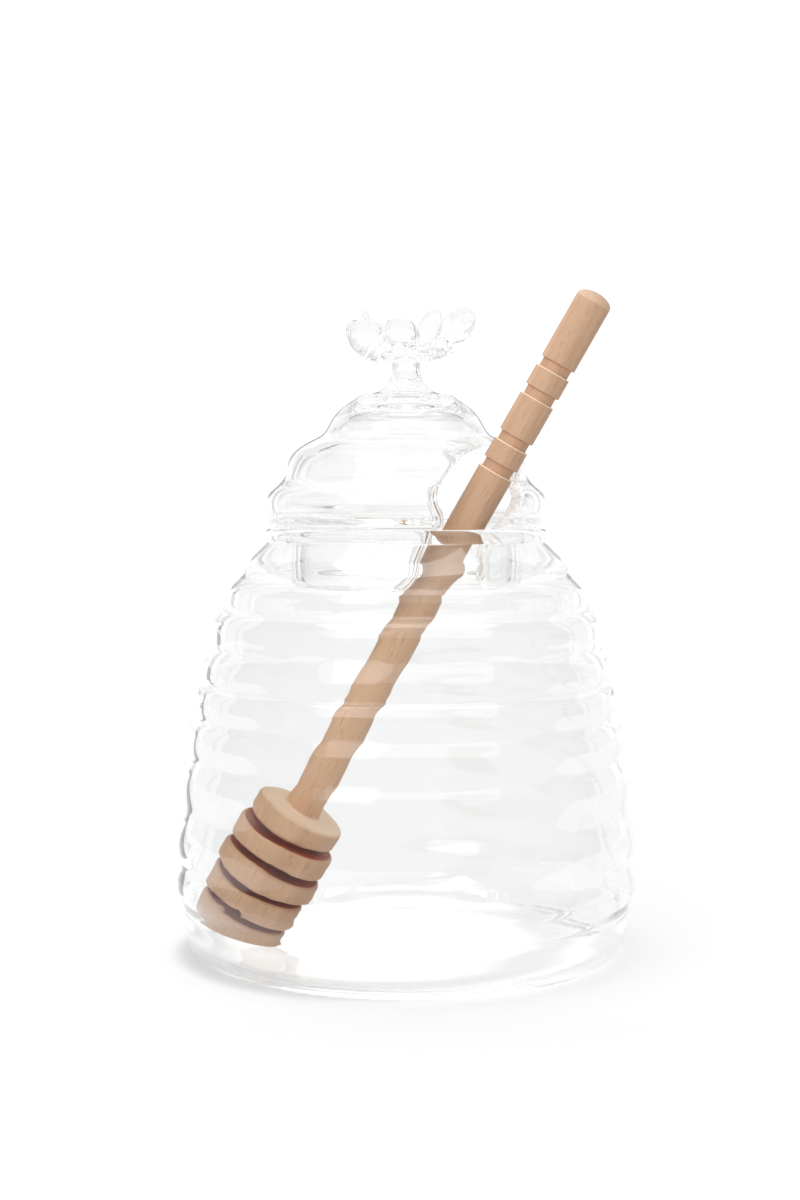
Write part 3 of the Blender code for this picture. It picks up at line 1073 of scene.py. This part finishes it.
class HONEY_OT_dipper(bpy.types.Operator):
    """Turn the wooden dipper and lean it in the jar"""

    bl_idname = "honey.dipper"
    bl_label = "Wooden dipper"

    def execute(self, context):
        outline = dipper_outline()
        item = drawn_outline("wooden_dipper", [point[:2] for point in outline])
        bpy.ops.object.mode_set(mode="OBJECT")
        for column, name in ((2, "scorch_and_shade"), (3, "pale")):
            marks = item.data.attributes.new(name, "FLOAT", "POINT")
            for i, point in enumerate(outline):
                marks.data[i].value = point[column]
        close_turned(item, context.scene.honey_dipper.sides)
        item.rotation_mode = "QUATERNION"
        item.rotation_quaternion = DIPPER_LEAN
        item.location = DIPPER_FOOT * MM
        finished(item, wood_material(), "dipper", angle=30.0)
        return {"FINISHED"}


# ---------------------------------------------------------------- stage


def towards(azimuth, height, distance):
    """A place at an azimuth in degrees, from the back (+Y) round by the left (-X)."""
    turn = math.radians(azimuth)
    return Vector((-math.sin(turn) * distance, math.cos(turn) * distance, height))


def softbox(name, place, size, power):
    """A soft lamp that faces the stage's middle and isn't mirrored in the glass."""
    bpy.ops.object.light_add(type="AREA", location=place)
    lamp = bpy.context.object
    lamp.name = name
    lamp.data.shape = "RECTANGLE"
    lamp.data.size, lamp.data.size_y = size
    lamp.data.energy = power
    lamp.visible_glossy = False
    lamp.rotation_euler = (STAGE_MIDDLE - Vector(place)).to_track_quat("-Z", "Y").to_euler()


def card(name, place, size, shade, way, turn=None):
    """A card that the camera doesn't see, and that counts in one way only.

    It faces the stage's middle, or lies flat, turned by an angle in degrees, where one is given.
    """
    bpy.ops.mesh.primitive_plane_add(size=1.0, location=place)
    item = bpy.context.object
    item.name = name
    item.scale = (*size, 1.0)
    if turn is None:
        item.rotation_euler = (STAGE_MIDDLE - Vector(place)).to_track_quat("Z", "Y").to_euler()
    else:
        item.rotation_euler = (0.0, 0.0, math.radians(turn))
    made = Nodes(name)
    made.set(Base_Color=BLACK, Roughness=1.0, Specular_IOR_Level=0.0)
    made.set(Emission_Color=WHITE, Emission_Strength=shade)
    item.data.materials.append(made.material)
    item.visible_camera = False
    item.visible_shadow = False
    for each in (THROUGH, MIRRORED, SHADING):
        setattr(item, each, each == way)


class HONEY_OT_stage(bpy.types.Operator):
    """Set the pale floor, the soft lights and the camera"""

    bl_idname = "honey.stage"
    bl_label = "Stage"

    def execute(self, context):
        stage = context.scene.honey_stage
        deselect()
        bpy.ops.mesh.primitive_plane_add(size=FLOOR_SIZE, location=(0, 0, -FLOOR_DROP))
        floor = context.object
        floor.name = "floor"
        floor.data.materials.append(floor_material())
        for lamp in LAMPS:
            softbox(*lamp)
        for name, azimuth, height, distance, size, shade in CARDS:
            card(name, towards(azimuth, height, distance), size, shade, THROUGH)
        for placed in (*PLACED_CARDS, *GROUND_CARDS):
            card(*placed)
        world = bpy.data.worlds.new("studio")
        world.use_nodes = True
        background = world.node_tree.nodes["Background"]
        background.inputs["Color"].default_value = WHITE
        background.inputs["Strength"].default_value = stage.surround
        context.scene.world = world
        context.scene.view_settings.view_transform = "Standard"
        for kind in ("max_bounces", "glossy_bounces", "transmission_bounces"):
            setattr(context.scene.cycles, kind, stage.bounces)
        bpy.ops.object.camera_add(location=CAMERA_PLACE, rotation=(math.pi / 2, 0, 0))
        camera = context.object
        camera.name = "camera"
        camera.data.lens = stage.lens
        camera.data.sensor_width = SENSOR_WIDTH
        camera.data.shift_y = stage.shift
        camera.data.clip_start = CAMERA_NEAR
        context.scene.camera = camera
        return {"FINISHED"}


# ---------------------------------------------------------------- panel and running


class HONEY_PT_jar(bpy.types.Panel):
    """Lists the pieces of the honey jar"""

    bl_idname = "HONEY_PT_jar"
    bl_label = "Honey jar"
    bl_space_type = "VIEW_3D"
    bl_region_type = "UI"
    bl_category = "Honey jar"

    def draw(self, context):
        for group, operator in PIECES:
            box = self.layout.box()
            settings = getattr(context.scene, group)
            for name in settings.bl_rna.properties.keys():
                if name not in ("rna_type", "name"):
                    box.prop(settings, name)
            if operator:
                box.operator(operator)


SETTINGS = {
    "honey_glass": HoneyGlassSettings,
    "honey_jar": HoneyJarSettings,
    "honey_lid": HoneyLidSettings,
    "honey_bee": HoneyBeeSettings,
    "honey_dipper": HoneyDipperSettings,
    "honey_stage": HoneyStageSettings,
}
PIECES = (
    ("honey_glass", ""),
    ("honey_jar", "honey.jar"),
    ("honey_bee", ""),
    ("honey_lid", "honey.lid"),
    ("honey_dipper", "honey.dipper"),
    ("honey_stage", "honey.stage"),
)
CLASSES = (
    *SETTINGS.values(),
    HONEY_OT_jar,
    HONEY_OT_lid,
    HONEY_OT_dipper,
    HONEY_OT_stage,
    HONEY_PT_jar,
)


def register():
    for made in CLASSES:
        bpy.utils.register_class(made)
    for name, made in SETTINGS.items():
        setattr(bpy.types.Scene, name, bpy.props.PointerProperty(type=made))


def unregister():
    for name in SETTINGS:
        delattr(bpy.types.Scene, name)
    for made in reversed(CLASSES):
        bpy.utils.unregister_class(made)


def main():
    register()
    bpy.ops.honey.jar()
    bpy.ops.honey.lid()
    bpy.ops.honey.dipper()
    bpy.ops.honey.stage()
    bpy.context.view_layer.update()


if __name__ == "__main__":
    main()
